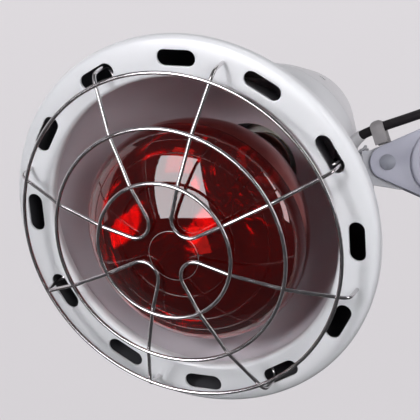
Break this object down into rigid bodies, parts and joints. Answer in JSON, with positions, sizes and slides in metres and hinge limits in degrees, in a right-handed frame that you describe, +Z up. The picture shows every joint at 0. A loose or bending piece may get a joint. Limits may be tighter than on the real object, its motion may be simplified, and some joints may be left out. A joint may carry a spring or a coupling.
{
  "type": "heat lamp fixture",
  "caption": "Infrared heat lamp head with slotted conical shade, red reflector bulb and wire guard, on a two-pivot friction joint with a short arm and lead.",
  "frame": {"origin": "centre of the flat end face of the arm's spigot, where a stand takes the lamp", "axes": "+X straight out of that end face along the arm, +Z up, +Y away from the side that the beam leaves"},
  "size_m": [0.3709, 0.2344, 0.2484],
  "materials": {
    "white_paint": "satin white enamel",
    "reflector_paint": "pale satin enamel",
    "cap_paint": "pale grey satin enamel",
    "grey_paint": "light grey satin enamel",
    "lavender_paint": "lavender-grey satin enamel",
    "red_glass": "ruby stained glass",
    "mirror_glass": "internally mirrored glass",
    "clear_glass": "clear glass",
    "black_glass": "black vitrite",
    "ceramic": "unglazed porcelain",
    "brass": "bright",
    "nickel": "nickel plate",
    "solder": "solder",
    "tungsten": "drawn wire",
    "chrome": "bright chrome wire",
    "zinc_steel": "zinc plate",
    "bright_steel": "bright",
    "rivet_steel": "dull rivet head",
    "nylon": "natural nylon",
    "black_plastic": "fine grained",
    "clip_plastic": "smooth",
    "boot_rubber": "smooth",
    "cord_black": "smooth jacket",
    "tie_fabric": "woven tape"
  },
  "bodies": {
    "arm": {"arm_knuckle": "grey_paint", "arm_tube": "grey_paint", "end_spigot": "bright_steel", "lead_arm": "cord_black", "lead_coil": "cord_black", "coil_tie": "tie_fabric", "lead_tail": "cord_black", "plug_body": "black_plastic", "plug_pin_1": "nickel", "plug_pin_2": "nickel"},
    "cheeks": {"cheek_near": "lavender_paint", "cheek_far": "lavender_paint", "tilt_rivet": "rivet_steel", "disc_cover": "lavender_paint", "pivot_bolt": "bright_steel", "knob_washer": "bright_steel", "pivot_washer_near": "nylon", "pivot_washer_far": "nylon", "cable_clip_rear": "clip_plastic", "lead_cheek": "cord_black"},
    "knob": {"clamp_knob": "black_plastic"},
    "yoke": {"yoke": "grey_paint", "tilt_washer_near": "nylon", "tilt_washer_far": "nylon", "cable_clip_front": "clip_plastic", "lead_head": "cord_black", "swivel_nut": "zinc_steel", "swivel_spring_washer": "bright_steel"},
    "head": {"front_ring": "white_paint", "outer_shade": "white_paint", "inner_reflector": "reflector_paint", "rear_cap": "cap_paint", "cap_screw_1": "bright_steel", "cap_screw_2": "bright_steel", "lampholder_body": "ceramic", "lampholder_shell": "brass", "centre_contact": "brass", "holder_strap": "zinc_steel", "holder_standoff_1": "zinc_steel", "holder_standoff_2": "zinc_steel", "terminal_block": "ceramic", "mount_bracket": "grey_paint", "lead_gland": "clip_plastic", "lead_boot": "boot_rubber", "guard_ring_outer": "chrome", "guard_ring_middle": "chrome", "guard_ring_inner": "chrome", "guard_loop_1": "chrome", "guard_loop_2": "chrome", "guard_loop_3": "chrome", "guard_loop_4": "chrome"},
    "bulb": {"bulb_front_glass": "red_glass", "bulb_rear_glass": "mirror_glass", "bulb_screw_cap": "nickel", "bulb_insulator": "black_glass", "bulb_contact": "solder", "bulb_stem": "clear_glass", "bulb_filament": "tungsten", "bulb_support_1": "nickel", "bulb_support_2": "nickel"}
  },
  "joints": [
    {"name": "arm_tilt", "type": "hinge", "parent": "arm", "child": "cheeks", "pos_m": [-0.13, 0, 0], "axis": [0, 1, 0], "range_deg": [-45, 45], "deforming": ["lead_arm"]},
    {"name": "head_tilt", "type": "hinge", "parent": "cheeks", "child": "yoke", "pos_m": [-0.164, 0, 0], "axis": [0, 1, 0], "range_deg": [-35, 35], "deforming": ["lead_cheek"]},
    {"name": "head_swivel", "type": "hinge", "parent": "yoke", "child": "head", "pos_m": [-0.164, 0, 0], "axis": [0.9085, -0.4179, 0], "range_deg": [-60, 60], "deforming": ["lead_head"]},
    {"name": "knob_turn", "type": "hinge", "parent": "cheeks", "child": "knob", "pos_m": [-0.13, 0, 0], "axis": [0, 1, 0], "range_deg": [0, 360]},
    {"name": "bulb_turn", "type": "hinge", "parent": "head", "child": "bulb", "pos_m": [-0.22539, 0.05894, 0.01104], "axis": [-0.3666, -0.8429, -0.3939], "range_deg": [0, 180]}
  ]
}
